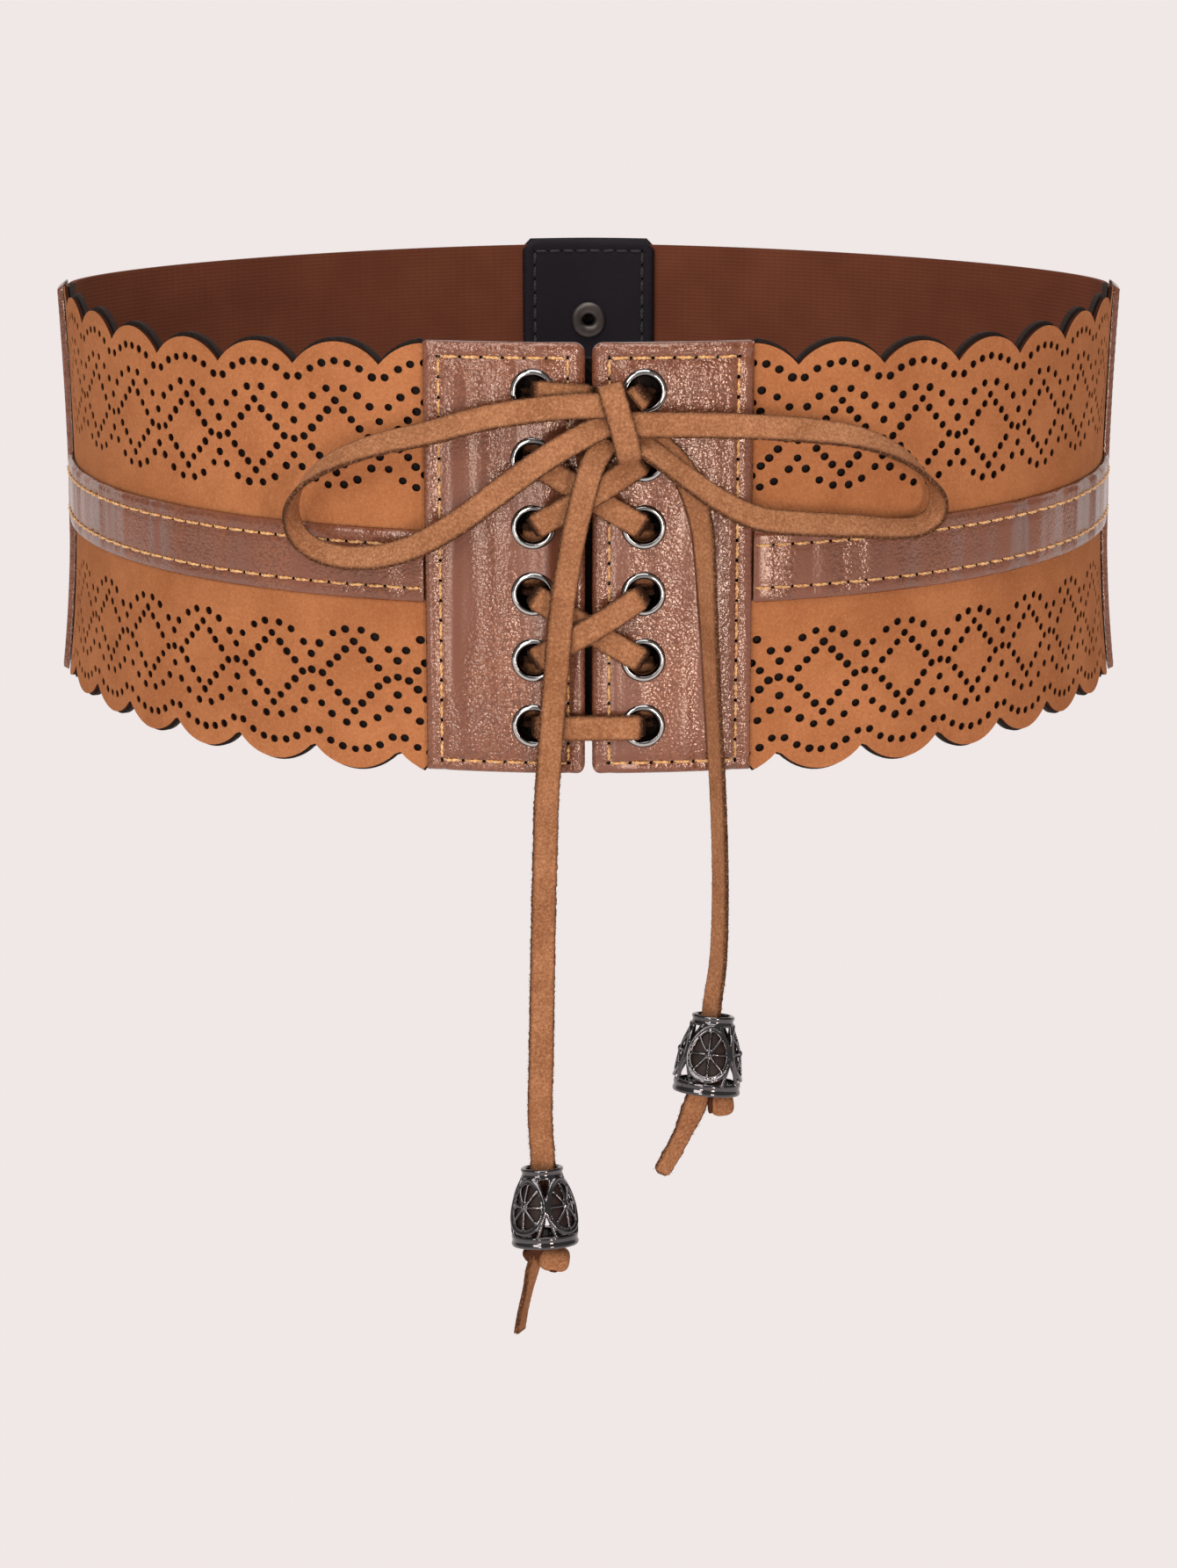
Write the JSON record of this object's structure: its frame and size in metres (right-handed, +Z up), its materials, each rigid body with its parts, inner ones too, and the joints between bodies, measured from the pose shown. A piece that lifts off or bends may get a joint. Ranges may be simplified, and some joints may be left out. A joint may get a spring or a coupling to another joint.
{
  "type": "wide lace-up waist belt",
  "caption": "Wide corset-style waist belt: laced leather front, scalloped suede sides, elastic back with a snap tab, and a bow whose tails end in pierced beads.",
  "frame": {"origin": "centre of the waist opening at the belt's mid-height", "axes": "+Z up, the laced front faces -Y, +X to the right of someone who faces the belt"},
  "size_m": [0.2936, 0.2607, 0.25],
  "materials": {
    "leather": "soft grained, satin",
    "suede": "napped suede, matt",
    "lace_suede": "napped suede, matt",
    "backing": "plain dark cloth, matt",
    "elastic": "ribbed elastic weave",
    "black_leather": "fine grained, satin",
    "gunmetal": "dark polished plating"
  },
  "bodies": {
    "root": {"front_panel_left": "leather", "middle_strip_left": "leather", "side_trim_left": "leather", "suede_panel_left": "suede", "suede_backing_left": "backing", "elastic_left": "elastic", "eyelet_left_1": "gunmetal", "eyelet_left_2": "gunmetal", "eyelet_left_3": "gunmetal", "eyelet_left_4": "gunmetal", "eyelet_left_5": "gunmetal", "eyelet_left_6": "gunmetal", "bead_left": "gunmetal", "lace_to_knot_left": "lace_suede", "lace_loop_left": "lace_suede", "lace_tail_left": "lace_suede", "tail_knot_left": "lace_suede", "tail_end_left": "lace_suede", "lace_behind_left_1": "lace_suede", "lace_behind_left_2": "lace_suede", "lace_behind_left_3": "lace_suede", "front_panel_right": "leather", "middle_strip_right": "leather", "side_trim_right": "leather", "suede_panel_right": "suede", "suede_backing_right": "backing", "elastic_right": "elastic", "eyelet_right_1": "gunmetal", "eyelet_right_2": "gunmetal", "eyelet_right_3": "gunmetal", "eyelet_right_4": "gunmetal", "eyelet_right_5": "gunmetal", "eyelet_right_6": "gunmetal", "bead_right": "gunmetal", "lace_to_knot_right": "lace_suede", "lace_loop_right": "lace_suede", "lace_tail_right": "lace_suede", "tail_knot_right": "lace_suede", "tail_end_right": "lace_suede", "lace_behind_right_1": "lace_suede", "lace_behind_right_2": "lace_suede", "lace_behind_right_3": "lace_suede", "placket": "backing", "snap_tab_inner": "black_leather", "snap_tab_outer": "black_leather", "snap_1": "gunmetal", "snap_2": "gunmetal", "snap_3": "gunmetal", "lace_front_bar": "lace_suede", "lace_cross_low_over": "lace_suede", "lace_cross_low_under": "lace_suede", "lace_cross_high_over": "lace_suede", "lace_cross_high_under": "lace_suede", "lace_knot": "lace_suede"}
  },
  "joints": []
}
